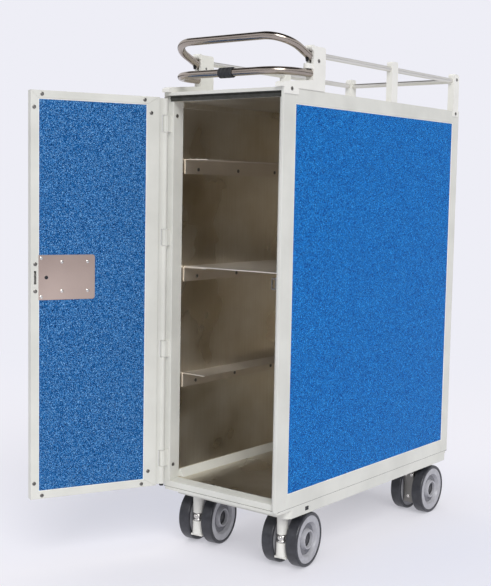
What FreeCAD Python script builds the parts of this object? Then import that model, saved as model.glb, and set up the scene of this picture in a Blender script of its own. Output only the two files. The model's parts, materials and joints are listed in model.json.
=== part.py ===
import FreeCAD, Part

import math
import os

Vector = FreeCAD.Vector

# Catering trolley: a narrow cabinet on four twin-wheel castors, with one side-hung door.
# Millimetres, +Z up, X across the trolley, -Y towards the door end.
# The origin is on the floor, under the middle of the cabinet.

# Overall sizes of the cabinet
body_width = 322.0
body_depth = 760.0
body_top = 1030.0
base_top = 148.5
base_bottom = 124.0

# Wall and frame sections
wall = 17.0
post_depth = 32.0
top_rail_height = 30.5
bottom_rail_height = 31.0
door_recess = 10.0
lip_width = 7.0
header_lip = 7.5
header_height = 18.0
cove_top_width = 2.0
cove_foot_width = 14.0
cove_height = 17.5
panel_set_back = 1.0
liner_sheet = 1.5
liner_set_back = 1.5
ceiling_set_back = 2.0
sill_band = 14.0
sill_depth = 26.0
floor_thickness = 18.0
deck_thickness = 16.0
deck_set_back = 2.0
rear_rail_depth = 20.0

# Base tray
base_wall = 4.0
base_plate = 6.0
base_corner = 10.0
base_front_step = 2.0
skirt_set_back = 41.0
skirt_corner = 16.0
slot_length = 13.5
slot_height = 9.0
slot_from_front = 110.5
slot_rise = 7.0

# Runners and shelf
runner_drop = 143.0
runner_pitch = 241.0
runner_levels = 3
runner_leg = 33.0
left_runner_flange = 66.0
right_runner_flange = 26.0
runner_sheet = 2.0
runner_front_gap = 8.5
runner_rear_gap = 18.0
shelf_sheet = 2.5
shelf_side_gap = 1.0
shelf_lip = 12.0

# Fasteners
screw_head_radius = 4.0
screw_head_height = 1.0
screw_crown_radius = 3.0
screw_crown_height = 1.8
runner_screw_drop = 22.5
runner_screw_first = 44.5
runner_screw_last = 37.0
runner_screw_count = 5
post_screw_set_in = 11.0
post_screw_margin = 50.0

# Handle brackets and bars
bracket_thickness = 19.0
bracket_proud = 2.0
bracket_front_overhang = 8.0
bracket_set_back = 100.0
bracket_length = 44.0
bracket_height = 91.0
bracket_corner = 6.0
foot_front_height = 7.0
foot_nose = 8.0
foot_heel_height = 21.0
tab_length = 49.0
tab_drop = 13.0
bar_radius = 8.25
bar_wall = 1.5
lower_bar_height = 35.0
lower_bar_reach = 94.0
lower_bar_corner = 61.0
lower_bar_socket = 12.0
brake_pivot_set_in = 18.0
brake_pivot_height = 61.5
brake_bar_reach = 117.5
brake_bar_corner = 56.0
brake_bar_tilt_deg = 22.2
brake_bar_start = 23.0
tongue_thickness = 5.0
tongue_width = 13.0
tongue_clearance = 0.5
tongue_room_above = 20.0
stop_boss_radius = 6.0
stop_boss_forward = 2.0
stop_boss_drop = 4.0
pivot_pin_radius = 3.0
stud_reach = 29.0
stud_radius = 2.5
stud_length = 6.0
stud_cup_outer = 7.5
stud_cup_inner = 6.0
stud_cup_height = 10.0
stud_cup_gap = 1.0
sleeve_place = -11.0
sleeve_length = 36.0
sleeve_thickness = 3.0

# Gallery rail
gallery_height = 75.0
gallery_radius = 6.0
gallery_wall = 1.2
gallery_socket = 8.0
gallery_post_thickness = 15.0
gallery_post_width = 26.0
gallery_post_height = 92.0
gallery_post_corner = 5.0
gallery_post_spacing = 303.0
rear_gallery_set_in = 22.0
post_tab_drop = 14.0
post_rail_screw_rise = 3.0
post_tab_thickness = 2.0

# Door, drawn shut and then swung open about its hinge
door_thickness = 19.0
door_seal_gap = 2.5
door_bottom_gap = 7.0
door_top_gap = 4.0
door_free_gap = 7.5
door_frame_top_width = 16.0
door_frame_bottom_width = 16.0
door_frame_free_width = 16.0
door_frame_hinge_width = 29.0
door_open_deg = 114.5
hinge_in_from_side = 2.8
hinge_to_door = 17.0
hinge_bead_radius = 6.3
hinge_web = 7.0
hinge_end_gap = 1.5
hinge_bottom_gap = 1.0
hinge_pin_radius = 2.5
running_clearance = 0.05
knuckle_radius = 6.0
knuckle_height = 36.0
knuckle_gap = 0.6
knuckle_room = 2.0
knuckle_arm = 7.5
knuckle_first_rise = 66.5
knuckle_last_drop = 68.0
knuckle_count = 4
hinge_pin_overrun = 2.5

# Latch in the door
latch_rise = 481.5
cover_plate_set_in = 0.5
cover_plate_width = 124.0
cover_plate_height = 95.0
cover_plate_sheet = 1.5
cover_plate_corner = 6.0
cover_hole_radius = 4.0
cover_hole_set_in = 17.0
rivet_radius = 3.5
rivet_height = 1.0
rivet_shares = ((0.05, 0.07), (0.05, 0.93), (0.41, 0.19), (0.41, 0.84), (0.87, 0.19), (0.87, 0.84))
dish_radius = 42.0
dish_wall = 2.0
dish_depth = 12.0
dish_rim = 4.0
dish_rim_proud = 1.0
dish_set_in = 66.0
lever_length = 70.0
lever_width = 18.0
lever_thickness = 9.0
spindle_radius = 6.0
spindle_length = 8.0
spindle_room = 1.0
hook_set_in = 9.5
hook_thickness = 3.0
hook_pocket_width = 5.0
hook_pocket_depth = 17.0
hook_pivot_rise = 6.0
hook_pivot_depth = 7.0
hook_arm = 18.0
hook_arm_width = 6.0
hook_hub_radius = 6.0
hook_barb = 3.0
hook_barb_height = 4.0
hook_pocket_room = 2.0
hook_pin_radius = 2.5
hook_pin_length = 13.0
keeper_width = 13.0
keeper_sheet = 3.0
keeper_height = 25.0
keeper_flange = 10.0
keeper_set_back = 0.5
keeper_slot_width = 7.0
keeper_drop = 7.5
keeper_slot_height = 19.0
free_side_screw_in = 7.0
free_end_screw_in = 24.0
hinge_side_screw_in = 20.0
hinge_end_screw_in = 35.5
side_screw_up = 35.0
end_screw_up = 7.5
slot_screw_gap = 14.5

# Castors
wheel_radius = 60.5
tyre_thickness = 7.2
tyre_width = 28.0
tyre_corner = 4.0
wheel_gap = 32.0
hub_set_in = 1.5
hub_dish = 8.0
hub_rim = 14.5
hub_dish_slope = 4.0
boss_radius = 21.0
boss_slope = 2.5
boss_wall = 3.5
boss_proud = 1.0
boss_recess = 9.0
axle_radius = 6.0
axle_end_gap = 1.0
castor_side_set_in = 41.0
front_castor_set_in = 85.0
rear_castor_set_in = 104.0
front_trail = 43.0
rear_trail = 24.0
castor_turns_deg = {"front_left": 8.4, "front_right": 6.7, "rear_left": 2.0, "rear_right": 0.8}
leg_width = 26.0
leg_rise = 2.0
leg_top_radius = 12.8
leg_low_radius = 12.0
leg_upper_height = 48.0
neck_height = 19.0
neck_radius = 9.5
rear_leg_lead = 20.0
block_behind_axle = 14.0
block_bottom = 28.0
shoe_thickness = 4.0
shoe_lead = 8.0
shoe_behind_axle = 6.0
shoe_width = 29.0
kingpin_radius = 7.0
kingpin_length = 12.0
housing_radius = 20.0
housing_gap = 1.0
flange_length = 50.0
flange_width = 60.0
flange_thickness = 4.0

# Cuts run past the solid by this much
overrun = 5.0
full_turn_deg = 360.0
parallel_share = 0.000001

# Planes that pieces share
half_width = body_width / 2
half_depth = body_depth / 2
inner = half_width - wall
lip_front = -half_depth
frame_front = -half_depth + door_recess
post_back = frame_front + post_depth
rear_post_front = half_depth - post_depth
panel_bottom = base_top + bottom_rail_height
panel_top = body_top - top_rail_height
floor_top = base_top + floor_thickness
sill_back = frame_front + sill_depth
liner_face = inner + liner_set_back
liner_back = liner_face + liner_sheet
rear_liner_face = half_depth - rear_rail_depth + liner_set_back
runner_front = post_back + runner_front_gap
runner_back = rear_post_front - runner_rear_gap
deck_top = body_top - deck_set_back
deck_bottom = deck_top - deck_thickness
bracket_outside = half_width + bracket_proud
bracket_inside = bracket_outside - bracket_thickness
bar_half_span = (bracket_outside + bracket_inside) / 2
bracket_front = lip_front + bracket_set_back
bracket_heel = bracket_front + bracket_length
rail_height = body_top + gallery_height
rear_post_place = half_depth - rear_gallery_set_in
mid_post_place = rear_post_place - gallery_post_spacing
castor_half_track = half_width - castor_side_set_in
front_castor_place = -half_depth + front_castor_set_in
rear_castor_place = half_depth - rear_castor_set_in
leg_top = base_bottom + leg_rise
latch_height = base_top + latch_rise

# Planes of the door when it is shut
door_inner = frame_front - door_seal_gap
door_outer = door_inner - door_thickness
hinge = Vector(-half_width + hinge_in_from_side, (door_inner + door_outer) / 2, 0)
door_left = hinge.x + hinge_to_door
door_right = half_width - lip_width - door_free_gap
door_bottom = base_top + door_bottom_gap
door_top = body_top - header_lip - door_top_gap
opening_left = door_left + door_frame_hinge_width
opening_right = door_right - door_frame_free_width
opening_bottom = door_bottom + door_frame_bottom_width
opening_top = door_top - door_frame_top_width
panel_inner = door_inner - panel_set_back
panel_outer = door_outer + panel_set_back
dish_back = panel_outer + dish_depth
hook_x = door_right - hook_set_in
hook_pivot = Vector(hook_x, door_inner - hook_pivot_depth, latch_height + hook_pivot_rise)
dish_x = opening_right - dish_set_in
hinge_bottom = door_bottom + hinge_bottom_gap
hinge_top = door_top - hinge_end_gap

# Directions
X = Vector(1, 0, 0)
Y = Vector(0, 1, 0)
Z = Vector(0, 0, 1)
ORIGIN = Vector(0, 0, 0)


def block(low_x, high_x, low_y, high_y, low_z, high_z):
    """Box between two corners."""
    size = (high_x - low_x, high_y - low_y, high_z - low_z)
    return Part.makeBox(*size, Vector(low_x, low_y, low_z))


def rod(start, end, radius):
    """Round bar between two points."""
    along = end - start
    return Part.makeCylinder(radius, along.Length, start, along)


def rod_x(low, high, y, z, radius):
    """Round bar along X."""
    return rod(Vector(low, y, z), Vector(high, y, z), radius)


def rod_y(low, high, x, z, radius):
    """Round bar along Y."""
    return rod(Vector(x, low, z), Vector(x, high, z), radius)


def rod_z(low, high, x, y, radius):
    """Round bar along Z."""
    return rod(Vector(x, y, low), Vector(x, y, high), radius)


def prism(points, along):
    """Flat outline pushed along a vector."""
    return Part.Face(Part.makePolygon(points + points[:1])).extrude(along)


def side_prism(outline, low_x, high_x):
    """Outline of (y, z) points pushed across X."""
    points = [Vector(low_x, y, z) for y, z in outline]
    return prism(points, X * (high_x - low_x))


def front_prism(outline, low_y, high_y):
    """Outline of (x, z) points pushed along Y."""
    points = [Vector(x, low_y, z) for x, z in outline]
    return prism(points, Y * (high_y - low_y))


def fused(shapes):
    """Touching shapes as one clean solid."""
    whole = shapes[0].fuse(shapes[1:]) if len(shapes) > 1 else shapes[0]
    return whole.removeSplitter()


def spread(first, last, count):
    """Evenly spaced places from the first to the last."""
    return [first + step * (last - first) / (count - 1) for step in range(count)]


def both_sides(shape):
    """A right-hand solid and its mirror image."""
    return [shape, shape.mirror(ORIGIN, X)]


def rounded_along(shape, direction, radius, keep=None):
    """Rounds the straight edges that run along a direction."""
    edges = []
    for edge in shape.Edges:
        run = edge.Vertexes[-1].Point - edge.Vertexes[0].Point
        if run.Length > 0 and run.cross(direction).Length < parallel_share * run.Length:
            if keep is None or keep(edge.CenterOfMass):
                edges.append(edge)
    return shape.makeFillet(radius, edges)


def screw_head(place, direction):
    """Low domed screw head lying on a face."""
    foot = Part.makeCylinder(screw_head_radius, screw_head_height, place, direction)
    crown = Part.makeCylinder(screw_crown_radius, screw_crown_height, place, direction)
    return foot.fuse(crown).removeSplitter()


def bent_bar(points, corner, radius):
    """Round bar through points, with equal bends."""
    edges = []
    start = points[0]
    for before, here, after in zip(points, points[1:], points[2:]):
        back = (before - here).normalize()
        ahead = (after - here).normalize()
        half_turn = back.getAngle(ahead) / 2
        reach = corner / math.tan(half_turn)
        middle = here + (back + ahead).normalize() * (corner / math.sin(half_turn) - corner)
        edges.append(Part.LineSegment(start, here + back * reach).toShape())
        edges.append(Part.Arc(here + back * reach, middle, here + ahead * reach).toShape())
        start = here + ahead * reach
    edges.append(Part.LineSegment(start, points[-1]).toShape())
    ring = Part.Wire(Part.makeCircle(radius, points[0], points[1] - points[0]))
    return Part.Wire(edges).makePipeShell([ring], True, False)


def write(name, shapes):
    """One STEP file for a node, holding one or more separate solids."""
    shapes = shapes if isinstance(shapes, list) else [shapes]
    solids = [solid for shape in shapes for solid in shape.Solids]
    for solid in solids:
        assert solid.isValid(), name
    whole = solids[0] if len(solids) == 1 else Part.makeCompound(solids)
    whole.exportStep("parts/" + name + ".step")
    print(name, len(solids), round(sum(solid.Volume for solid in solids)))


def make_base():
    """Tray under the cabinet: a plate, and a hanging skirt that starts behind the door end."""
    front = frame_front - base_front_step
    plate_bottom = base_top - base_plate
    plate = block(-half_width, half_width, front, half_depth, plate_bottom, base_top)
    plate = rounded_along(plate, Z, base_corner)
    skirt_front = front + skirt_set_back
    skirt = block(-half_width, half_width, skirt_front, half_depth, base_bottom, plate_bottom)
    skirt = rounded_along(skirt, Z, skirt_corner)
    room = block(-half_width + base_wall, half_width - base_wall, skirt_front + base_wall,
                 half_depth - base_wall, base_bottom - overrun, plate_bottom)
    room = rounded_along(room, Z, skirt_corner - base_wall)
    slot_y = -half_depth + slot_from_front
    slot = block(-half_width - overrun, half_width + overrun, slot_y, slot_y + slot_length,
                 base_bottom + slot_rise, base_bottom + slot_rise + slot_height)
    write("base_tray", fused([plate, skirt.cut(room).cut(slot)]))


def make_frame():
    """Posts, rails, header and sill of the cabinet."""
    left = block(-half_width, -inner, frame_front, post_back, base_top + sill_band, body_top)
    write("front_post_left", left)
    right = block(inner, half_width, frame_front, post_back, base_top, body_top)
    lip = block(half_width - lip_width, half_width, lip_front, frame_front, base_top, body_top)
    write("front_post_right", fused([right, lip]))
    rear = block(inner, half_width, rear_post_front, half_depth, base_top, body_top)
    write("rear_posts", both_sides(rear))

    top = block(inner, half_width, post_back, rear_post_front, panel_top, body_top)
    bottom = block(inner, half_width, post_back, rear_post_front, base_top, panel_bottom)
    cove_top = floor_top + cove_height
    outline = [(inner, floor_top), (inner - cove_foot_width, floor_top),
               (inner - cove_top_width, cove_top), (inner, cove_top)]
    cove = front_prism(outline, post_back, rear_post_front)
    write("side_rails", both_sides(top) + both_sides(fused([bottom, cove])))

    rail = block(-inner, inner, frame_front, post_back, body_top - header_height, body_top)
    nose_right = half_width - lip_width
    nose = block(-half_width, nose_right, lip_front, frame_front, body_top - header_lip, body_top)
    write("header_rail", fused([rail, nose]))

    sill_top = base_top + sill_band
    outline = [(frame_front, base_top), (frame_front, sill_top),
               (sill_back, floor_top), (sill_back, base_top)]
    ramp = side_prism(outline, -inner, inner)
    end = block(-half_width, -inner, frame_front, post_back, base_top, sill_top)
    write("front_sill", fused([ramp, end]))

    rear_front = half_depth - rear_rail_depth
    rear_top = block(-inner, inner, rear_front, half_depth, panel_top, body_top)
    rear_bottom = block(-inner, inner, rear_front, half_depth, base_top, panel_bottom)
    write("rear_rails", [rear_top, rear_bottom])


def make_walls():
    """Laminated side and rear panels, metal liners, floor and top."""
    side_face = half_width - panel_set_back
    side = block(liner_back, side_face, post_back, rear_post_front, panel_bottom, panel_top)
    write("side_panels", both_sides(side))
    liner = block(liner_face, liner_back, post_back, rear_post_front, panel_bottom, panel_top)
    ceiling_face = deck_bottom - liner_sheet
    ceiling = block(-inner, inner, frame_front + ceiling_set_back, half_depth - rear_rail_depth,
                    ceiling_face, deck_bottom)
    fold = block(inner - liner_sheet, inner, post_back, rear_post_front, panel_top, ceiling_face)
    write("side_liners", both_sides(liner) + [fused([ceiling] + both_sides(fold))])
    rear_liner_back = rear_liner_face + liner_sheet
    rear_face = half_depth - panel_set_back
    rear = block(-inner, inner, rear_liner_back, rear_face, panel_bottom, panel_top)
    write("rear_panel", rear)
    rear_liner = block(-inner, inner, rear_liner_face, rear_liner_back, panel_bottom, panel_top)
    write("rear_liner", rear_liner)
    floor = block(-inner, inner, sill_back, half_depth - rear_rail_depth, base_top, floor_top)
    write("floor_panel", floor)
    deck = block(-inner, inner, post_back, half_depth - rear_rail_depth, deck_bottom, deck_top)
    write("top_deck", deck)


def runner_tops():
    """Heights of the runner flanges, from the top down."""
    return [body_top - runner_drop - level * runner_pitch for level in range(runner_levels)]


def make_runner(top, flange_width):
    """Angle runner on the right-hand liner."""
    leg_face = liner_face - runner_sheet
    ends = (runner_front, runner_back)
    leg = block(leg_face, liner_face, *ends, top - runner_leg, top)
    flange = block(liner_face - flange_width, leg_face, *ends, top - runner_sheet, top)
    return fused([leg, flange])


def make_runners():
    """Runners on both liners, and the shelf on the middle pair."""
    runners = []
    for top in runner_tops():
        runners.append(make_runner(top, right_runner_flange))
        runners.append(make_runner(top, left_runner_flange).mirror(ORIGIN, X))
    write("runners", runners)
    shelf_top = runner_tops()[1] + shelf_sheet
    half_shelf = liner_face - shelf_side_gap
    sheet = block(-half_shelf, half_shelf, runner_front, runner_back, runner_tops()[1], shelf_top)
    lip_face = runner_back - shelf_sheet
    lip = block(-half_shelf, half_shelf, lip_face, runner_back, runner_tops()[1], shelf_top + shelf_lip)
    write("shelf", fused([sheet, lip]))


def make_screws():
    """Screw heads on the runners, posts, brackets and gallery posts, and the brake bar's pivot pins."""
    heads = []
    first = runner_front + runner_screw_first
    last = runner_back - runner_screw_last
    for top in runner_tops():
        for along in spread(first, last, runner_screw_count):
            place = Vector(liner_face - runner_sheet, along, top - runner_screw_drop)
            heads += both_sides(screw_head(place, -X))
    for height in (base_top + post_screw_margin, body_top - post_screw_margin):
        heads += both_sides(screw_head(Vector(inner, frame_front + post_screw_set_in, height), -X))
    tab_screw_z = body_top - tab_drop / 2 + screw_head_radius
    tab_screw = Vector(bracket_outside, lip_front + tab_length / 2, tab_screw_z)
    heads += both_sides(screw_head(tab_screw, X))
    post_face = half_width + post_tab_thickness
    for height in (body_top - post_tab_drop / 2, body_top + gallery_height + post_rail_screw_rise):
        heads += both_sides(screw_head(Vector(post_face, rear_post_place, height), X))
    pivot = brake_pivot()
    pin = rod_x(bracket_inside, bracket_outside, pivot.y, pivot.z, pivot_pin_radius)
    pin_head = screw_head(Vector(bracket_outside, pivot.y, pivot.z), X)
    heads += both_sides(pin.fuse(pin_head).removeSplitter())
    write("frame_screws", heads)


def brake_pivot():
    """Middle of the brake bar's pivot line."""
    return Vector(0, bracket_front + brake_pivot_set_in, body_top + brake_pivot_height)


def make_brackets():
    """White handle brackets at the front corners of the top."""
    nose_y = lip_front - bracket_front_overhang
    outline = [(nose_y, body_top), (nose_y, body_top + foot_front_height),
               (nose_y + foot_nose, body_top + foot_front_height + foot_nose / 2),
               (bracket_front, body_top + foot_heel_height), (bracket_front, body_top + bracket_height),
               (bracket_heel, body_top + bracket_height), (bracket_heel, body_top)]
    plate = side_prism(outline, bracket_inside, bracket_outside)
    near_top = body_top + bracket_height - bracket_corner
    plate = rounded_along(plate, X, bracket_corner, lambda at: at.z > near_top)
    tab = block(half_width, bracket_outside, lip_front, lip_front + tab_length,
                body_top - tab_drop, body_top)
    cup_y = brake_pivot().y - stud_reach
    cup_z = body_top + lower_bar_height + bar_radius + stud_cup_gap
    cup_top = cup_z + stud_cup_height
    cup = rod_z(cup_z, cup_top, bar_half_span, cup_y, stud_cup_outer)
    bridge = block(bar_half_span - stud_cup_outer, bar_half_span + stud_cup_outer, cup_y, bracket_front,
                   cup_z, cup_top)
    well = rod_z(cup_z + stud_cup_gap, cup_top + overrun, bar_half_span, cup_y, stud_cup_inner)
    stop_y = bracket_front - stop_boss_forward
    stop_z = body_top + bracket_height - stop_boss_drop
    stop = rod_x(bracket_inside, bracket_outside, stop_y, stop_z, stop_boss_radius)
    bracket = fused([plate, tab, cup, bridge, stop]).cut(well)
    socket_z = body_top + lower_bar_height
    socket_end = bracket_front + lower_bar_socket
    socket = rod_y(bracket_front - overrun, socket_end, bar_half_span, socket_z, bar_radius)
    pivot = brake_pivot()
    half_slot = tongue_thickness / 2 + tongue_clearance
    slot_low = pivot.z - tongue_width
    slot = block(bar_half_span - half_slot, bar_half_span + half_slot, bracket_front,
                 pivot.y + tongue_width, slot_low, pivot.z + tongue_room_above)
    pin_hole = rod_x(bracket_inside - overrun, bracket_outside + overrun,
                     pivot.y, pivot.z, pivot_pin_radius)
    rail_start = bracket_heel - gallery_socket
    rail_hole = rod_y(rail_start, bracket_heel + overrun, bar_half_span, rail_height, gallery_radius)
    for hole in (socket, slot, pin_hole, rail_hole):
        bracket = bracket.cut(hole)
    right, left = both_sides(bracket)
    write("handle_bracket_right", right)
    write("handle_bracket_left", left)


def make_lower_handle():
    """Fixed tubular handle with its rubber sleeve."""
    height = body_top + lower_bar_height
    end_y = bracket_front + lower_bar_socket
    front_y = bracket_front - lower_bar_reach
    points = [Vector(bar_half_span, end_y, height), Vector(bar_half_span, front_y, height),
              Vector(-bar_half_span, front_y, height), Vector(-bar_half_span, end_y, height)]
    tube = bent_bar(points, lower_bar_corner, bar_radius)
    bore = bent_bar(points, lower_bar_corner, bar_radius - bar_wall)
    write("lower_handle", tube.cut(bore))
    sleeve_end = sleeve_place + sleeve_length
    sleeve = rod_x(sleeve_place, sleeve_end, front_y, height, bar_radius + sleeve_thickness)
    write("handle_sleeve", sleeve.cut(rod_x(sleeve_place, sleeve_end, front_y, height, bar_radius)))


def make_brake_bar():
    """Bar over the handle that is squeezed to free the brakes, drawn flat and then tilted up."""
    pivot = brake_pivot()
    start_y = pivot.y - brake_bar_start
    front_y = pivot.y - brake_bar_reach
    points = [Vector(bar_half_span, start_y, pivot.z), Vector(bar_half_span, front_y, pivot.z),
              Vector(-bar_half_span, front_y, pivot.z), Vector(-bar_half_span, start_y, pivot.z)]
    bar = bent_bar(points, brake_bar_corner, bar_radius)
    sides = (bar_half_span - tongue_thickness / 2, bar_half_span + tongue_thickness / 2)
    half_tongue = tongue_width / 2
    tongue = block(*sides, start_y, pivot.y, pivot.z - half_tongue, pivot.z + half_tongue)
    eye = rod_x(*sides, pivot.y, pivot.z, half_tongue)
    hole = rod_x(-half_width, half_width, pivot.y, pivot.z, pivot_pin_radius + running_clearance)
    bar = fused([bar] + both_sides(fused([tongue, eye]))).cut(hole)
    bar.rotate(pivot, X, -brake_bar_tilt_deg)
    write("brake_bar", bar)
    tilt = math.radians(brake_bar_tilt_deg)
    under = pivot.z + stud_reach * math.tan(tilt) - bar_radius / math.cos(tilt)
    stud_y = pivot.y - stud_reach
    stud = rod_z(under - stud_length, under + bar_radius / 2, bar_half_span, stud_y, stud_radius)
    write("brake_bar_studs", both_sides(stud.cut(bar)))


def make_gallery():
    """Four short posts and the round rails between them."""
    inside = half_width - gallery_post_thickness
    half_post = gallery_post_width / 2
    post_top = body_top + gallery_post_height
    side_ends = (bracket_heel - gallery_socket, rear_post_place - half_post + gallery_socket)
    rear_end = inside + gallery_socket
    side_solid = rod_y(*side_ends, bar_half_span, rail_height, gallery_radius)
    side_bore = rod_y(*side_ends, bar_half_span, rail_height, gallery_radius - gallery_wall)
    rear_solid = rod_x(-rear_end, rear_end, rear_post_place, rail_height, gallery_radius)
    rear_bore = rod_x(-rear_end, rear_end, rear_post_place, rail_height, gallery_radius - gallery_wall)
    posts = []
    for place in (mid_post_place, rear_post_place):
        post = block(inside, half_width, place - half_post, place + half_post, body_top, post_top)
        near_top = post_top - gallery_post_corner
        post = rounded_along(post, X, gallery_post_corner, lambda at: at.z > near_top)
        if place == rear_post_place:
            strap = block(half_width, half_width + post_tab_thickness, place - half_post,
                          place + half_post, body_top - post_tab_drop, near_top)
            post = fused([post, strap])
        posts += both_sides(post.cut(side_solid).cut(rear_solid))
    write("gallery_posts", posts)
    side = side_solid.cut(side_bore).cut(rear_solid)
    write("gallery_rails", both_sides(side) + [rear_solid.cut(rear_bore)])


def swung(shapes):
    """Door pieces turned from shut to their open place."""
    shapes = shapes if isinstance(shapes, list) else [shapes]
    turned = []
    for shape in shapes:
        copy = shape.copy()
        copy.rotate(hinge, Z, -door_open_deg)
        turned.append(copy)
    return turned


def make_hinge():
    """Beaded hinge profile on the door, knuckles on the post, and one long pin."""
    bead = rod_z(hinge_bottom, hinge_top, hinge.x, hinge.y, hinge_bead_radius)
    half_web = hinge_web / 2
    web = block(hinge.x, door_left, hinge.y - half_web, hinge.y + half_web, hinge_bottom, hinge_top)
    bore = rod_z(hinge_bottom, hinge_top, hinge.x, hinge.y, hinge_pin_radius + running_clearance)
    profile = fused([bead, web]).cut(bore)
    knuckles = []
    reach = hinge_bead_radius + knuckle_room
    for place in spread(base_top + knuckle_first_rise, body_top - knuckle_last_drop, knuckle_count):
        foot = place - knuckle_height / 2
        head = place + knuckle_height / 2
        room = block(hinge.x - reach, hinge.x + reach, hinge.y - reach, hinge.y + reach,
                     foot - knuckle_gap, head + knuckle_gap)
        profile = profile.cut(room)
        barrel = rod_z(foot, head, hinge.x, hinge.y, knuckle_radius)
        arm = block(hinge.x, hinge.x + knuckle_arm, hinge.y, frame_front, foot, head)
        pin_hole = rod_z(foot, head, hinge.x, hinge.y, hinge_pin_radius)
        knuckles.append(fused([barrel, arm]).cut(pin_hole))
    write("hinge_profile", swung(profile))
    write("hinge_knuckles", knuckles)
    pin_bottom = hinge_bottom - hinge_pin_overrun
    pin_top = hinge_top + hinge_pin_overrun
    write("hinge_pin", rod_z(pin_bottom, pin_top, hinge.x, hinge.y, hinge_pin_radius))


def corners(left, right, bottom, top):
    """Corner points of an upright rectangle, as (x, z)."""
    return [(left, bottom), (right, bottom), (right, top), (left, top)]


def make_door():
    """Mitred door frame, panel, latch cover and fasteners."""
    outer = corners(door_left, door_right, door_bottom, door_top)
    inside = corners(opening_left, opening_right, opening_bottom, opening_top)
    members = []
    for start in range(len(outer)):
        end = (start + 1) % len(outer)
        outline = [outer[start], outer[end], inside[end], inside[start]]
        members.append(front_prism(outline, door_outer, door_inner))
    bottom, free_side, top, hinge_side = members

    half_pocket = hook_pocket_width / 2
    pocket_bottom = hook_pivot.z - hook_arm - hook_pocket_room
    pocket_top = hook_pivot.z + hook_hub_radius + hook_pocket_room
    pocket = block(hook_x - half_pocket, hook_x + half_pocket, door_inner - hook_pocket_depth,
                   door_inner + overrun, pocket_bottom, pocket_top)
    pin_end = opening_right + hook_pin_length
    hook_pin = rod_x(opening_right, pin_end, hook_pivot.y, hook_pivot.z, hook_pin_radius)
    write("door_frame_bottom", swung(bottom))
    write("door_frame_free_side", swung(free_side.cut(pocket).cut(hook_pin)))
    write("door_frame_top", swung(top))
    write("door_frame_hinge_side", swung(hinge_side))

    panel = block(opening_left, opening_right, panel_outer, panel_inner, opening_bottom, opening_top)
    bowl_room = rod_y(panel_outer, dish_back, dish_x, latch_height, dish_radius)
    spindle_end = door_outer + lever_thickness + spindle_length + spindle_room
    spindle_hole = rod_y(dish_back, spindle_end, dish_x, latch_height, spindle_radius + spindle_room)
    write("door_panel", swung(panel.cut(bowl_room).cut(spindle_hole)))

    plate_right = opening_right - cover_plate_set_in
    plate_left = plate_right - cover_plate_width
    plate_bottom = latch_height - cover_plate_height / 2
    plate_face = panel_inner + cover_plate_sheet
    plate_top = plate_bottom + cover_plate_height
    plate = block(plate_left, plate_right, panel_inner, plate_face, plate_bottom, plate_top)
    plate = rounded_along(plate, Y, cover_plate_corner, lambda at: at.x < dish_x)
    hole = rod_y(panel_inner, plate_face, plate_right - cover_hole_set_in, latch_height, cover_hole_radius)
    write("latch_cover_plate", swung(plate.cut(hole)))

    fasteners = [hook_pin]
    for across, up in rivet_shares:
        x = plate_right - across * cover_plate_width
        z = plate_bottom + up * cover_plate_height
        fasteners.append(rod_y(plate_face, plate_face + rivet_height, x, z, rivet_radius))
    screws = [(hook_x, pocket_bottom - slot_screw_gap), (hook_x, pocket_top + slot_screw_gap)]
    for z, rise in ((door_bottom, 1), (door_top, -1)):
        screws.append((door_right - free_side_screw_in, z + rise * side_screw_up))
        screws.append((door_right - free_end_screw_in, z + rise * end_screw_up))
        screws.append((door_left + hinge_side_screw_in, z + rise * side_screw_up))
        screws.append((door_left + hinge_end_screw_in, z + rise * end_screw_up))
    fasteners += [screw_head(Vector(x, door_inner, z), Y) for x, z in screws]
    write("door_fasteners", swung(fasteners))


def make_latch():
    """Recessed dish with a turning lever outside, and the hook that it swings out."""
    rim_front = door_outer - dish_rim_proud
    rim = rod_y(rim_front, panel_outer, dish_x, latch_height, dish_radius + dish_rim)
    bowl = rod_y(panel_outer, dish_back, dish_x, latch_height, dish_radius)
    room = rod_y(rim_front, dish_back - dish_wall, dish_x, latch_height, dish_radius - dish_wall)
    hole = rod_y(rim_front, dish_back, dish_x, latch_height, spindle_radius + running_clearance)
    write("latch_dish", swung(fused([rim, bowl]).cut(room).cut(hole)))

    lever_back = door_outer + lever_thickness
    lever = block(dish_x - lever_width / 2, dish_x + lever_width / 2, door_outer, lever_back,
                  latch_height - lever_length / 2, latch_height + lever_length / 2)
    lever = rounded_along(lever, Y, lever_width / 2 - dish_wall)
    spindle = rod_y(lever_back, lever_back + spindle_length, dish_x, latch_height, spindle_radius)
    write("latch_lever", swung(fused([lever, spindle])))

    low_x = hook_x - hook_thickness / 2
    high_x = hook_x + hook_thickness / 2
    hub = rod_x(low_x, high_x, hook_pivot.y, hook_pivot.z, hook_hub_radius)
    arm_low = hook_pivot.z - hook_arm
    arm_back = hook_pivot.y + hook_arm_width / 2
    arm = block(low_x, high_x, arm_back - hook_arm_width, arm_back, arm_low, hook_pivot.z)
    barb = block(low_x, high_x, arm_back, arm_back + hook_barb, arm_low, arm_low + hook_barb_height)
    bore = rod_x(low_x, high_x, hook_pivot.y, hook_pivot.z, hook_pin_radius + running_clearance)
    write("latch_hook", swung(fused([hub, arm, barb]).cut(bore)))

    front = frame_front + keeper_set_back
    low = hook_pivot.z - keeper_drop - keeper_height / 2
    plate = block(inner - keeper_width, inner, front, front + keeper_sheet, low, low + keeper_height)
    flange = block(inner - keeper_sheet, inner, front, front + keeper_flange, low, low + keeper_height)
    slot_low = low + (keeper_height - keeper_slot_height) / 2
    slot = block(hook_x - keeper_slot_width / 2, hook_x + keeper_slot_width / 2, front - overrun,
                 front + keeper_sheet, slot_low, slot_low + keeper_slot_height)
    write("latch_keeper", fused([plate, flange]).cut(slot))


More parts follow.
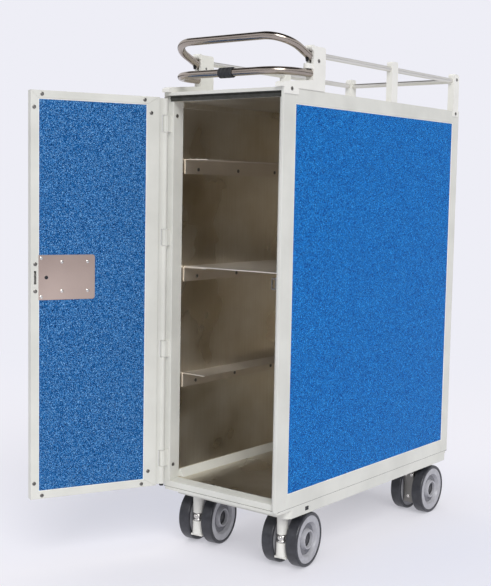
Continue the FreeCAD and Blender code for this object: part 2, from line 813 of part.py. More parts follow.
def half_axle():
    """Reach of an axle stub from the middle of the castor."""
    return wheel_gap / 2 + tyre_width - hub_set_in - boss_recess - axle_end_gap


def make_leg(end, trail):
    """Castor leg between the wheels: round in front, a plain plated one at the rear."""
    half_leg = leg_width / 2
    neck_top = leg_top - leg_upper_height
    block_top = neck_top - neck_height
    behind = trail + block_behind_axle
    if end == "front":
        column = Part.makeCone(leg_low_radius, leg_top_radius, leg_upper_height, Z * neck_top)
        neck = rod_z(block_top, neck_top, 0, 0, neck_radius)
        nose = rod_z(block_bottom, block_top, 0, 0, half_leg)
        pieces = [column, neck, nose, block(-half_leg, half_leg, 0, behind, block_bottom, block_top)]
    else:
        upper = block(-half_leg, half_leg, -rear_leg_lead, rear_leg_lead, block_top, leg_top)
        pieces = [upper, block(-half_leg, half_leg, -rear_leg_lead, behind, block_bottom, block_top)]
    half_shoe = shoe_width / 2
    shoe = block(-half_shoe, half_shoe, -shoe_lead, trail + shoe_behind_axle,
                 block_bottom - shoe_thickness, block_bottom)
    axle = rod_x(-half_axle(), half_axle(), trail, wheel_radius, axle_radius)
    kingpin = rod_z(leg_top, leg_top + kingpin_length, 0, 0, kingpin_radius)
    return fused(pieces + [shoe, axle, kingpin])


def make_wheel():
    """Right-hand hub and tyre of a pair of wheels that stands straight over the origin."""
    near = wheel_gap / 2
    far = near + tyre_width
    hub_near = near + hub_set_in
    hub_face = far - hub_set_in
    rim_radius = wheel_radius - tyre_thickness
    dish_face = hub_face - hub_dish
    dish_outer = rim_radius - hub_rim
    boss_face = hub_face + boss_proud
    boss_inside = boss_radius - boss_wall
    well = boss_face - boss_recess
    bore = axle_radius + running_clearance
    bore_end = half_axle() + axle_end_gap / 2
    outline = [(hub_near, bore), (hub_near, rim_radius), (hub_face, rim_radius), (hub_face, dish_outer),
               (dish_face, dish_outer - hub_dish_slope), (dish_face, boss_radius + boss_slope),
               (boss_face, boss_radius), (boss_face, boss_inside), (well, boss_inside - axle_end_gap),
               (well, 0), (bore_end, 0), (bore_end, bore)]
    points = [Vector(x, 0, wheel_radius + r) for x, r in outline]
    centre = Z * wheel_radius
    hub = Part.Face(Part.makePolygon(points + points[:1])).revolve(centre, X, full_turn_deg)
    ring = rod_x(near, far, 0, wheel_radius, wheel_radius)
    ring = ring.makeFillet(tyre_corner, [edge for edge in ring.Edges if edge.Closed])
    tyre = ring.cut(rod_x(near, far, 0, wheel_radius, rim_radius))
    return hub, tyre


def castor_places():
    """Name, end, pivot place, trail and swivel of each castor."""
    for name, turn in castor_turns_deg.items():
        end, side = name.split("_")
        x = castor_half_track if side == "right" else -castor_half_track
        y, trail = (front_castor_place, front_trail) if end == "front" else (rear_castor_place, rear_trail)
        yield name, end, Vector(x, y, 0), trail, turn


def make_castors():
    """Four swivel castors with twin wheels, and their housings under the tray."""
    hub, tyre = make_wheel()
    housings = []
    plate_top = base_top - base_plate
    wheels = {"hub_right": hub, "tyre_right": tyre,
              "hub_left": hub.mirror(ORIGIN, X), "tyre_left": tyre.mirror(ORIGIN, X)}
    for name, end, place, trail, turn in castor_places():
        pieces = {part_name: shape.translated(Y * trail) for part_name, shape in wheels.items()}
        pieces["leg"] = make_leg(end, trail)
        for part_name, shape in pieces.items():
            copy = shape.copy()
            copy.rotate(ORIGIN, Z, turn)
            copy.translate(place)
            write(name + "_" + part_name, copy)
        barrel = rod(place + Z * (leg_top + housing_gap), place + Z * plate_top, housing_radius)
        flange = block(place.x - flange_width / 2, place.x + flange_width / 2, place.y - flange_length / 2,
                       place.y + flange_length / 2, plate_top - flange_thickness, plate_top)
        bore = rod(place + Z * leg_top, place + Z * (leg_top + kingpin_length + housing_gap),
                   kingpin_radius + running_clearance)
        housings.append(fused([barrel, flange]).cut(bore))
    write("castor_housings", housings)


os.makedirs("parts", exist_ok=True)
make_base()
make_frame()
make_walls()
make_runners()
make_screws()
make_brackets()
make_lower_handle()
make_brake_bar()
make_gallery()
make_hinge()
make_door()
make_latch()
make_castors()
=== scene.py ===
# %% [markdown]
# # A catering trolley, dressed for the camera
# The trolley's solids are already at their real size, and they stay where they are. This lesson gives
# them finishes, soft edges and small fittings, and sets up a camera and a pale studio around them.
# We work in metres, with Z up, the door end towards -Y and the floor at height zero.

# %% Load the solids
import json
import math
import bmesh
import bpy
from mathutils import Matrix, Vector


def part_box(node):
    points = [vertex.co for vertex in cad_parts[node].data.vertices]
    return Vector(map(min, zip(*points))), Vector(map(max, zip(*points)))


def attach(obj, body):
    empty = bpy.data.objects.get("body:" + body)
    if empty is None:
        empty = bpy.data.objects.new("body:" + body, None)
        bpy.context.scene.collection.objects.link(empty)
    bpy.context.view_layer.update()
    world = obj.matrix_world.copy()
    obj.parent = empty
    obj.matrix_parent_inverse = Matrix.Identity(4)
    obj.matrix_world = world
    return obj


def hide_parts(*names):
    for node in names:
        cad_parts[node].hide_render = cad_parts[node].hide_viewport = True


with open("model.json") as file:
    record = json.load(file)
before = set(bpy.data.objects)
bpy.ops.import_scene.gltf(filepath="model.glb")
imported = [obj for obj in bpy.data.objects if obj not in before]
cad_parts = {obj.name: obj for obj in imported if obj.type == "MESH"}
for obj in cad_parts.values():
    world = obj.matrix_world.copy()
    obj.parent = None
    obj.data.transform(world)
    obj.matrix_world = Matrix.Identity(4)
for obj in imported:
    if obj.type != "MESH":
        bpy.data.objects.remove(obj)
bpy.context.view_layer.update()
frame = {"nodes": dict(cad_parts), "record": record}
nodes = frame["nodes"]
MM = 0.001
X, Y, Z = Vector((1, 0, 0)), Vector((0, 1, 0)), Vector((0, 0, 1))

# %% [markdown]
# ## The camera
# The straight edges of the trolley fix the camera: its place, its turn to the left, its small tilt down
# and a slight roll. A tracking constraint would point it but lose the roll, so we write the three axes
# of the camera ourselves. The lens comes from the focal length in pixels of a 491 by 586 picture.

# %% Camera
picture_width, picture_height = 491, 586
focal_pixels = 1088.6
film_width_mm = 36.0
camera_place = Vector((1.4698, -2.1722, 0.8218))
camera_turn_deg, camera_tilt_deg, camera_roll_deg = 37.95, 5.43, -1.06


def camera_axes(turn, tilt, roll):
    """Right, up and back directions of a camera that looks along +Y when nothing is turned."""
    ahead = Vector((-math.sin(turn) * math.cos(tilt), math.cos(turn) * math.cos(tilt), -math.sin(tilt)))
    level_right = Vector((math.cos(turn), math.sin(turn), 0.0))
    level_down = ahead.cross(level_right)
    right = math.cos(roll) * level_right + math.sin(roll) * level_down
    down = math.cos(roll) * level_down - math.sin(roll) * level_right
    return right, -down, -ahead


lens = bpy.data.cameras.new("studio_camera")
lens.sensor_width = film_width_mm
lens.lens = focal_pixels * film_width_mm / max(picture_width, picture_height)
camera = bpy.data.objects.new("studio_camera", lens)
axes = camera_axes(*(math.radians(angle) for angle in (camera_turn_deg, camera_tilt_deg, camera_roll_deg)))
camera.matrix_world = Matrix.Translation(camera_place) @ Matrix(axes).transposed().to_4x4()
bpy.context.scene.collection.objects.link(camera)
bpy.context.scene.camera = camera
print("lens in mm:", round(lens.lens, 2))

# %% [markdown]
# ## Colours and nodes
# Paint charts give colours as hex values in sRGB, while shaders want linear light, so one function does
# that change. A second small function adds a node of any kind with its settings and links, which keeps
# each material's recipe on a few readable lines. Nodes could be placed by hand in the editor, but a recipe
# in text can be read, compared and run again.

# %% Colours and nodes


def linear(hex_colour):
    """Linear RGBA of an sRGB hex colour."""
    shares = [int(hex_colour[place:place + 2], 16) / 255 for place in (1, 3, 5)]
    return [s / 12.92 if s <= 0.04045 else ((s + 0.055) / 1.055) ** 2.4 for s in shares] + [1.0]


def set_stops(colour_ramp, stops):
    """Give a colour ramp its (place, hex colour) stops."""
    while len(colour_ramp.elements) < len(stops):
        colour_ramp.elements.new(0.5)
    for element, (place, colour) in zip(colour_ramp.elements, stops):
        element.position = place
        element.color = linear(colour)


def add_node(material, kind, settings=None, **links):
    """A new node: settings are its properties, sockets or stops, links join its inputs to other outputs.

    A link is named for its input, with _ for a space, or is the letter i and the input's number.
    """
    node = material.node_tree.nodes.new(kind)
    for name, value in (settings or {}).items():
        if name == "stops":
            set_stops(node.color_ramp, value)
        elif isinstance(name, str) and hasattr(node, name):
            setattr(node, name, value)
        else:
            node.inputs[name].default_value = value
    for name, output in links.items():
        numbered = name[0] == "i" and name[1:].isdigit()
        socket = node.inputs[int(name[1:]) if numbered else name.replace("_", " ")]
        material.node_tree.links.new(output, socket)
    return node


# %% Materials and pattern sizes


def new_material(name, settings):
    """A material with only a surface shader, and that shader."""
    material = bpy.data.materials.new(name)
    material.use_nodes = True
    shader = material.node_tree.nodes["Principled BSDF"]
    for socket, value in settings.items():
        shader.inputs[socket].default_value = value
    return material, shader


def per_metre(size_mm):
    """Texture scale that gives a pattern of that size."""
    return 1.0 / (size_mm * MM)


# %% [markdown]
# ## Powder-coated aluminium
# The posts, rails and door frame are aluminium sections with a baked powder coat: off-white, satin, with
# a faint orange-peel skin. The peel is about a millimetre wide, so it only breaks up the highlights.
# Wide soft stains stand for the handling marks of a used trolley. One flat colour would look like new
# plastic, so two noises do it: the stains in the colour and the peel in the bump. Brackets and gallery
# posts are moulded nylon with the same satin skin, only paler, so they share the recipe.

# %% White powder coat
stain_mm, peel_mm, peel_depth_mm = 90.0, 1.2, 0.2


def powder_coat(name, light, shade):
    """Satin off-white skin with wide stains and a fine peel."""
    material, shader = new_material(name, {"Roughness": 0.45, "IOR": 1.5, "Specular IOR Level": 0.4})
    place = add_node(material, "ShaderNodeTexCoord").outputs["Object"]
    stains = add_node(material, "ShaderNodeTexNoise", {"Scale": per_metre(stain_mm), "Detail": 5.0},
                      Vector=place)
    colour = add_node(material, "ShaderNodeValToRGB", {"stops": [(0.35, shade), (0.65, light)]},
                      i0=stains.outputs["Fac"])
    material.node_tree.links.new(colour.outputs["Color"], shader.inputs["Base Color"])
    peel = add_node(material, "ShaderNodeTexNoise", {"Scale": per_metre(peel_mm), "Detail": 2.0},
                    Vector=place)
    bump = add_node(material, "ShaderNodeBump", {"Strength": 0.06, "Distance": peel_depth_mm * MM},
                    Height=peel.outputs["Fac"])
    material.node_tree.links.new(bump.outputs["Normal"], shader.inputs["Normal"])
    return material


white_coat = powder_coat("powder_coated_aluminium", "#DEDED7", "#D4D4CD")
white_nylon = powder_coat("moulded_white_nylon", "#EFEEE8", "#E6E5DF")
print("white finishes:", white_coat.name, white_nylon.name)

# %% [markdown]
# ## Speckled laminate
# The blue panels are faced with a high-pressure laminate whose printed layer holds fine light and dark
# flecks under a clear skin. Real flecks are well under a millimetre and would vanish at this distance,
# so they are drawn 1.2 and 0.8 millimetres across. Cells of random value make crisp flecks, where
# a noise would only make soft clouds, and two sizes of cell keep the pattern from looking like a grid.
# The door's sheet has colours of its own: darker and greyer, which is painted shade, with paler flecks.

# %% Blue laminate
fleck_mm, fine_fleck_mm, fleck_depth_mm = 1.2, 0.8, 0.1
fleck_values = (0.26, 0.43, 0.58, 0.74, 0.88)


def speckled_laminate(name, colours):
    """Printed sheet whose flecks run through the colours, dark to light."""
    material, shader = new_material(name, {"Roughness": 0.55, "IOR": 1.5, "Specular IOR Level": 0.12})
    place = add_node(material, "ShaderNodeTexCoord").outputs["Object"]
    flecks = add_node(material, "ShaderNodeTexVoronoi", {"Scale": per_metre(fleck_mm)}, Vector=place)
    fine = add_node(material, "ShaderNodeTexVoronoi", {"Scale": per_metre(fine_fleck_mm)}, Vector=place)
    value = add_node(material, "ShaderNodeSeparateColor", Color=flecks.outputs["Color"]).outputs["Red"]
    value_fine = add_node(material, "ShaderNodeSeparateColor", Color=fine.outputs["Color"]).outputs["Green"]
    both = add_node(material, "ShaderNodeMath", {"operation": "ADD"}, i0=value, i1=value_fine)
    half = add_node(material, "ShaderNodeMath", {"operation": "MULTIPLY", 1: 0.5}, i0=both.outputs["Value"])
    colour = add_node(material, "ShaderNodeValToRGB", {"stops": list(zip(fleck_values, colours))},
                      i0=half.outputs["Value"])
    material.node_tree.links.new(colour.outputs["Color"], shader.inputs["Base Color"])
    bump = add_node(material, "ShaderNodeBump", {"Strength": 0.1, "Distance": fleck_depth_mm * MM},
                    Height=value_fine)
    material.node_tree.links.new(bump.outputs["Normal"], shader.inputs["Normal"])
    return material


laminate = speckled_laminate(
    "speckled_blue_laminate", ("#001A58", "#0050A2", "#0072CC", "#1498EE", "#58C0FA"))
# The door's laminate is a darker, greyer copy of the same sheet: painted shade.
door_sheet_with_painted_shade = speckled_laminate(
    "door_speckled_blue_laminate_painted_shade", ("#00204E", "#0A4A88", "#1466AA", "#4690D2", "#9AC8EE"))
print("blue finishes:", laminate.name, door_sheet_with_painted_shade.name)

# %% [markdown]
# ## Brushed metals
# The liner, runners and shelf are mill-finished aluminium sheet, rolled in one direction. Stretching
# a noise along one axis gives the rolling marks, which tint the metal and dent its skin line by line,
# and wide clouds make it rougher here and smoother there, and paler here and darker there. On the liner
# those pale patches are painted reflections. The liner is also painted paler than the metal: painted
# light that lifts the shade inside the cabinet, where light that bounces from wall to wall picks up the
# metal's warm tint each time. The handle is polished stainless tube and the rails are satin ones: the
# same recipe with finer marks. Rolling and brushing marks are far thinner than a millimetre, so they are
# drawn 1.0 to 3.0 millimetres wide.

# %% Brushed metal
metal_tone_and_reflection_patch_mm, mark_depth_mm, mark_share = 180.0, 0.1, 0.2


def brushed_metal(name, light, shade, roughness, spread, grain_mm, stretch):
    """Metal with rolling or brushing marks along one direction."""
    material, shader = new_material(name, {"Metallic": 1.0})
    place = add_node(material, "ShaderNodeTexCoord").outputs["Object"]
    stretched = add_node(material, "ShaderNodeMapping", {"Scale": stretch}, Vector=place)
    marks = add_node(material, "ShaderNodeTexNoise", {"Scale": per_metre(grain_mm), "Detail": 3.0},
                     Vector=stretched.outputs["Vector"])
    clouds = add_node(material, "ShaderNodeTexNoise", {"Scale": per_metre(metal_tone_and_reflection_patch_mm), "Detail": 3.0},
                      Vector=place)
    mixed = add_node(material, "ShaderNodeMath", {"operation": "MULTIPLY_ADD", 1: mark_share},
                     i0=marks.outputs["Fac"], i2=clouds.outputs["Fac"])
    # The clouds also set the colour: on the liner their pale patches are painted reflections.
    colour = add_node(material, "ShaderNodeValToRGB", {"stops": [(0.40, shade), (0.82, light)]},
                      i0=mixed.outputs["Value"])
    material.node_tree.links.new(colour.outputs["Color"], shader.inputs["Base Color"])
    rough = add_node(material, "ShaderNodeMapRange", {
        "From Min": 0.3, "From Max": 0.7, "To Min": roughness - spread, "To Max": roughness + spread},
        Value=clouds.outputs["Fac"])
    material.node_tree.links.new(rough.outputs["Result"], shader.inputs["Roughness"])
    bump = add_node(material, "ShaderNodeBump", {"Strength": 0.05, "Distance": mark_depth_mm * MM},
                    Height=marks.outputs["Fac"])
    material.node_tree.links.new(bump.outputs["Normal"], shader.inputs["Normal"])
    return material


# %% Sheets, tubes and bolts
# The liner is painted pale, with wide pale patches: painted light that lifts the cabinet's inner shade and
# stands for its reflections.
liner_with_painted_light = brushed_metal(
    "rolled_aluminium_with_painted_light", "#FFFBF2", "#DED4C1",
    roughness=0.33, spread=0.14, grain_mm=3.0, stretch=(1.0, 1.0, 0.03))
runner_sheet = brushed_metal(
    "folded_aluminium_angle", "#F7F0E6", "#EDE4D7",
    roughness=0.50, spread=0.06, grain_mm=2.0, stretch=(1.0, 0.03, 1.0))
tube_steel = brushed_metal(
    "polished_stainless_tube", "#AFA59C", "#968C83",
    roughness=0.17, spread=0.04, grain_mm=1.0, stretch=(0.1, 1.0, 1.0))
rail_steel = brushed_metal(
    "satin_stainless_rail", "#E6E4DF", "#DAD8D3",
    roughness=0.42, spread=0.05, grain_mm=1.0, stretch=(1.0, 0.1, 1.0))
plate_steel = brushed_metal(
    "brushed_stainless_plate", "#CDBBB2", "#BAA79E",
    roughness=0.42, spread=0.08, grain_mm=1.5, stretch=(0.03, 1.0, 1.0))
bolt_steel = brushed_metal(
    "zinc_plated_steel", "#8F8D89", "#777572",
    roughness=0.34, spread=0.08, grain_mm=1.5, stretch=(1.0, 1.0, 1.0))
bright_steel = brushed_metal(
    "chromed_steel", "#E4E2DE", "#D0CECA",
    roughness=0.14, spread=0.04, grain_mm=1.5, stretch=(1.0, 1.0, 1.0))
for material in (liner_with_painted_light, runner_sheet, tube_steel, rail_steel, plate_steel, bolt_steel, bright_steel):
    print("metal finish:", material.name)

# %% [markdown]
# ## Rubber and moulded plastics
# Tyres are grey non-marking rubber with a soft sheen where they have worn smooth. Hubs are moulded nylon,
# paler than the tyres. Small black pieces are rubber or moulded plastic. Each has a fine grain that
# keeps the surface from looking like flat paint, and clouds that are twelve grains wide.

# %% Moulded materials
grains_per_cloud = 12


def moulded(name, light, shade, roughness, grain_mm, depth_mm):
    """Moulded rubber or plastic with a fine grain."""
    material, shader = new_material(name, {"Roughness": roughness, "IOR": 1.5})
    place = add_node(material, "ShaderNodeTexCoord").outputs["Object"]
    clouds = add_node(material, "ShaderNodeTexNoise",
                      {"Scale": per_metre(grain_mm * grains_per_cloud), "Detail": 5.0}, Vector=place)
    colour = add_node(material, "ShaderNodeValToRGB", {"stops": [(0.3, shade), (0.7, light)]},
                      i0=clouds.outputs["Fac"])
    material.node_tree.links.new(colour.outputs["Color"], shader.inputs["Base Color"])
    grain = add_node(material, "ShaderNodeTexNoise", {"Scale": per_metre(grain_mm), "Detail": 2.0},
                     Vector=place)
    bump = add_node(material, "ShaderNodeBump", {"Strength": 0.2, "Distance": depth_mm * MM},
                    Height=grain.outputs["Fac"])
    material.node_tree.links.new(bump.outputs["Normal"], shader.inputs["Normal"])
    return material


tyre_rubber = moulded(
    "grey_tyre_rubber", "#3A3B41", "#2A2B30", roughness=0.30, grain_mm=1.0, depth_mm=0.03)
hub_nylon = moulded(
    "moulded_grey_nylon", "#B6B6BB", "#A5A5AA", roughness=0.4, grain_mm=1.0, depth_mm=0.05)
# The mid grey nylon is painted shade for the hub's dish.
dish_shade_nylon = moulded(
    "mid_grey_painted_dish_shade", "#77777D", "#67676D", roughness=0.4, grain_mm=1.0, depth_mm=0.05)
# The dark grey nylon is partly painted shade that deepens the bore of each boss.
cap_and_bore_shade_nylon = moulded(
    "dark_grey_nylon_and_painted_bore_shade", "#37373B", "#28282C", roughness=0.4, grain_mm=1.0, depth_mm=0.05)
# The seal's grey rubber is partly painted shade under the header's nose.
rubber_seal_and_painted_shade = moulded(
    "grey_rubber_seal_with_painted_shade", "#4A4A45", "#38382F", roughness=0.6, grain_mm=1.0, depth_mm=0.05)
black_rubber = moulded(
    "moulded_black_rubber", "#2B2C2F", "#1E1F22", roughness=0.5, grain_mm=1.0, depth_mm=0.1)
black_plastic = moulded(
    "moulded_black_abs", "#26272A", "#1B1C1E", roughness=0.4, grain_mm=0.8, depth_mm=0.05)
print("materials so far:", len(bpy.data.materials))

# %% [markdown]
# ## Dressing the solids
# Each solid takes the finish of its slot, or one of its own. Machined corners catch a thin highlight,
# which a razor-sharp edge never does, so every solid also gets a small bevel. The solids come as loose
# triangles, with shading normals of their own that would fight the bevel, so we drop those first. Then
# we weld them, merge the flat ones, round the edges and let face area steer the shading normals.

# %% Finishes and edges of the solids
finishes = {
    "white_painted_frame": white_coat, "white_plastic": white_nylon, "blue_laminate": laminate,
    "liner_metal": liner_with_painted_light, "stainless_tube": tube_steel, "fastener_steel": bolt_steel,
    "black_rubber": black_rubber, "black_plastic": black_plastic, "grey_tyre": tyre_rubber,
    "grey_hub": hub_nylon}
finish_of_node = {
    "door_panel": door_sheet_with_painted_shade, "runners": runner_sheet, "shelf": runner_sheet,
    "latch_cover_plate": plate_steel, "gallery_rails": rail_steel,
    # The front legs take the paler nylon: moulded nylon, and paler also as painted light against the shade
    # under the tray.
    "front_left_leg": white_nylon, "front_right_leg": white_nylon,
    "rear_left_leg": bolt_steel, "rear_right_leg": bolt_steel}
slot_of_node = {part["node"]: part["material_slot"] for part in frame["record"]["subparts"]}
edge_radius_mm = {
    "runners": 0.4, "shelf": 0.4, "side_liners": 0.2, "rear_liner": 0.2, "latch_cover_plate": 0.4}
usual_edge_mm, edge_segments = 0.9, 2
weld_mm = 0.002
flat_turn_deg, sharp_turn_deg = 0.5, 35.0


def soften(piece, radius):
    """Welded, rounded edges on a piece."""
    for face in piece.data.polygons:
        face.use_smooth = True
    weld = piece.modifiers.new("weld", "WELD")
    weld.merge_threshold = weld_mm * MM
    flats = piece.modifiers.new("flats", "DECIMATE")
    flats.decimate_type = "DISSOLVE"
    flats.angle_limit = math.radians(flat_turn_deg)
    bevel = piece.modifiers.new("edges", "BEVEL")
    bevel.width = radius
    bevel.segments = edge_segments
    bevel.limit_method = "ANGLE"
    bevel.angle_limit = math.radians(sharp_turn_deg)
    piece.modifiers.new("shading", "WEIGHTED_NORMAL").keep_sharp = False


for name, piece in nodes.items():
    piece.data.materials.clear()
    piece.data.materials.append(finish_of_node.get(name, finishes[slot_of_node[name]]))
    if "custom_normal" in piece.data.attributes:
        piece.data.attributes.remove(piece.data.attributes["custom_normal"])
    soften(piece, edge_radius_mm.get(name, usual_edge_mm) * MM)
print("dressed", len(nodes), "solids")

# %% [markdown]
# ## Tools for the fittings
# Small fittings are turned, pressed or extruded in real life, so three mesh builders cover them: one
# turns a profile round an axis, one pushes an outline along a line, and one lofts a bead round a
# rectangle. Turned shapes and beads are rings of points, which one small function joins with faces.
# A last helper makes the finished piece ride on the body that carries it.

# %% Rings and turned shapes
usual_turns = 28


def join_rings(mesh, rings):
    """Faces between neighbouring rings, where a ring of one point makes a tip."""
    turns = max(len(ring) for ring in rings)
    for low, high in zip(rings, rings[1:]):
        for step in range(turns):
            ahead = step + 1
            corners = [low[step % len(low)], low[ahead % len(low)],
                       high[ahead % len(high)], high[step % len(high)]]
            mesh.faces.new(list(dict.fromkeys(corners)))


def lathe(mesh, origin, axis, profile, turns=usual_turns):
    """Turned shape: the profile is (radius, height) in millimetres along an axis."""
    side = axis.orthogonal().normalized()
    other = axis.cross(side)
    rings = []
    for radius, height in profile:
        centre = origin + axis * (height * MM)
        steps = turns if radius > 0 else 1
        angles = [2 * math.pi * step / turns for step in range(steps)]
        rings.append([mesh.verts.new(centre + (side * math.cos(a) + other * math.sin(a)) * (radius * MM))
                      for a in angles])
    join_rings(mesh, rings)


def rod(radius_mm, length_mm):
    """Profile of a plain pin for the lathe."""
    return [(0.0, 0.0), (radius_mm, 0.0), (radius_mm, length_mm), (0.0, length_mm)]


# %% Pushed outlines and beads


def extrude(mesh, outline, along):
    """Closed outline of points pushed along a vector, with both ends closed."""
    start = [mesh.verts.new(point) for point in outline]
    end = [mesh.verts.new(point + along) for point in outline]
    mesh.faces.new(start)
    mesh.faces.new(end[::-1])
    for step in range(len(outline)):
        ahead = (step + 1) % len(outline)
        mesh.faces.new([start[ahead], start[step], end[step], end[ahead]])


def bead_round(mesh, corner, across, up, normal, profile):
    """Bead inside a rectangle: the profile is (inset, rise) in millimetres."""
    width, height = across.length, up.length
    one, two = across.normalized(), up.normalized()
    rings = []
    for inset, rise in profile:
        step_in = inset * MM
        lifted = corner + normal * (rise * MM)
        rings.append([mesh.verts.new(lifted + one * a + two * b) for a, b in (
            (step_in, step_in), (width - step_in, step_in),
            (width - step_in, height - step_in), (step_in, height - step_in))])
    join_rings(mesh, rings)


# %% Finished pieces
crease_deg = 40.0


def make_piece(name, mesh, material, body):
    """Object from a mesh, with its finish, riding on a body."""
    bmesh.ops.recalc_face_normals(mesh, faces=mesh.faces)
    data = bpy.data.meshes.new(name)
    mesh.to_mesh(data)
    mesh.free()
    data.materials.append(material)
    data.shade_smooth()
    data.set_sharp_from_angle(angle=math.radians(crease_deg))
    piece = bpy.data.objects.new(name, data)
    bpy.context.scene.collection.objects.link(piece)
    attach(piece, body)
    return piece


# %% [markdown]
# ## Where things are
# The record names every joint with its place and axis, and each solid's mesh holds its real place. So
# few fittings need a typed position: the door's own directions come from the latch joints, a screw's
# place comes from its plain solid, and a wheel's cap from the wheel's axle. The skirt's slots, the seal's
# ends and the heights on the castor legs are given by numbers.

# %% Joints and the door's directions
joints = {joint["name"]: joint for joint in frame["record"]["behaviour"]["joints"]}
door_inward = Vector(joints["latch_lever_turn"]["axis"]).normalized()
door_across = Vector(joints["latch_hook_swing"]["axis"]).normalized()
print("joints:", len(joints))

# %% Separate solids in a node
same_point_mm = 0.01


def solids_of(node):
    """Corner points of each separate solid in a node."""
    mesh = bmesh.new()
    mesh.from_mesh(nodes[node].data)
    bmesh.ops.remove_doubles(mesh, verts=mesh.verts, dist=same_point_mm * MM)
    left = set(mesh.verts)
    solids = []
    for first in mesh.verts:
        if first not in left:
            continue
        left.discard(first)
        waiting = [first]
        points = []
        while waiting:
            corner = waiting.pop()
            points.append(corner.co.copy())
            for edge in corner.link_edges:
                other = edge.other_vert(corner)
                if other in left:
                    left.discard(other)
                    waiting.append(other)
        solids.append(points)
    mesh.free()
    return solids


def span(points, direction):
    """Lowest and highest reach of points along a direction."""
    reach = [point.dot(direction) for point in points]
    return min(reach), max(reach)


def middle(points):
    """Middle of points in the door's own directions."""
    total = Vector()
    for direction in (door_across, door_inward, Z):
        low, high = span(points, direction)
        total += direction * ((low + high) / 2)
    return total


for node in ("frame_screws", "door_fasteners"):
    print("solids in", node, len(solids_of(node)))

# %% [markdown]
# ## Screws and rivets
# The frame is held by pan-head screws with a cross recess, and the latch plate by domed rivets. The
# solids only mark their places. A boolean cut would give the recess, but one polar grid whose height
# follows the dome and dips inside the cross is lighter and leaves no thin slivers.

# %% Screw head
head_radius_mm, head_height_mm = 4.0, 1.8
dome_share, dome_power = 0.5, 2.4
recess_reach_mm, recess_half_width_mm, recess_depth_mm = 2.5, 0.55, 1.3
recess_slope_share = 0.6
head_rings, head_turns = 12, 48


def pan_head(mesh, base, axis, scale=1.0):
    """Domed screw head with a cross recess."""
    side = axis.orthogonal().normalized()
    other = axis.cross(side)
    rings = []
    for number in range(head_rings + 1):
        radius = head_radius_mm * number / head_rings
        ring = []
        for step in range(head_turns if number else 1):
            angle = 2 * math.pi * step / head_turns
            u, v = radius * math.cos(angle), radius * math.sin(angle)
            height = head_height_mm * (1.0 - dome_share * (radius / head_radius_mm) ** dome_power)
            narrow, far = min(abs(u), abs(v)), max(abs(u), abs(v))
            if narrow < recess_half_width_mm and far < recess_reach_mm:
                height -= recess_depth_mm * (1.0 - recess_slope_share * far / recess_reach_mm)
            ring.append(mesh.verts.new(base + (side * u + other * v + axis * height) * (MM * scale)))
        rings.append(ring)
    foot = [corner.co - axis * (corner.co - base).dot(axis) for corner in rings[-1]]
    rings.append([mesh.verts.new(point) for point in foot])
    join_rings(mesh, rings)


# %% Screws on the frame
pivot_pin_radius_mm, pin_at_least_heads = 3.0, 3


def frame_screw_mesh():
    """Heads on the cabinet, with the brake bar's pivot pins behind those of the brackets."""
    mesh = bmesh.new()
    solids = solids_of("frame_screws")
    outer_face = max(span(points, X)[1] for points in solids) - head_height_mm * MM
    for points in solids:
        low, high = span(points, X)
        hand = 1.0 if low + high > 0 else -1.0
        reach = max(abs(low), abs(high))
        centre = middle(points)
        outward = reach > outer_face
        base_x = hand * (outer_face if outward else reach)
        base = Vector((base_x, centre.y, centre.z))
        pan_head(mesh, base, X * (hand if outward else -hand))
        if high - low > pin_at_least_heads * head_height_mm * MM:
            length_mm = (high - low) / MM - head_height_mm
            lathe(mesh, base, -X * hand, rod(pivot_pin_radius_mm, length_mm))
    return mesh


screws = make_piece("frame_screw_heads", frame_screw_mesh(), bolt_steel, "cabinet")
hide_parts("frame_screws")
print("frame screw faces:", len(screws.data.polygons))

# %% [markdown]
# ## Fasteners of the door
# The door carries the same screws, the rivets of the latch plate and the pin of the hook. They are told
# apart by how far each plain solid stands along the door's inward direction.

# %% Door screws and rivets
rivet_dome = [(3.5, 0.0), (3.4, 0.35), (2.7, 0.75), (1.5, 0.95), (0.0, 1.0)]
rivet_below_mm, screw_below_mm = 1.5, 2.5
hook_pin_radius_mm = 2.5


def door_fastener_meshes():
    """Screws with the hook's pin, and the rivets."""
    screw_mesh, rivet_mesh = bmesh.new(), bmesh.new()
    for points in solids_of("door_fasteners"):
        low, high = span(points, door_inward)
        stand_mm = (high - low) / MM
        centre = middle(points)
        base = centre - door_inward * (centre.dot(door_inward) - low)
        if stand_mm < rivet_below_mm:
            lathe(rivet_mesh, base, door_inward, rivet_dome)
        elif stand_mm < screw_below_mm:
            pan_head(screw_mesh, base, door_inward)
        else:
            start, end = span(points, door_across)
            tip = centre + door_across * (start - centre.dot(door_across))
            lathe(screw_mesh, tip, door_across, rod(hook_pin_radius_mm, (end - start) / MM))
    return screw_mesh, rivet_mesh


screw_mesh, rivet_mesh = door_fastener_meshes()
door_screws = make_piece("door_screw_heads", screw_mesh, bolt_steel, "door")
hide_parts("door_fasteners")
rivets = make_piece("latch_plate_rivets", rivet_mesh, bright_steel, "door")
for piece in (door_screws, rivets):
    print("faces of", piece.name, len(piece.data.polygons))

# %% [markdown]
# ## Lock core in the latch plate
# The round hole in the plate gives access to the latch's lock. A small core with a recessed cross sits in
# it, dark against the plate. It is the screw head again, scaled to the hole.

# %% Lock core
plate_points = [corner.co.copy() for corner in nodes["latch_cover_plate"].data.vertices]
hole_set_in_mm, core_share = 17.0, 0.92
core_place = middle(plate_points)
hole_across = span(plate_points, door_across)[1] - hole_set_in_mm * MM
core_place += door_across * (hole_across - core_place.dot(door_across))
plate_back = span(plate_points, door_inward)[0]
core_place += door_inward * (plate_back - core_place.dot(door_inward))
core_mesh = bmesh.new()
pan_head(core_mesh, core_place, door_inward, core_share)
make_piece("latch_lock_core", core_mesh, black_plastic, "door")
print("lock core at", [round(v, 4) for v in core_place])
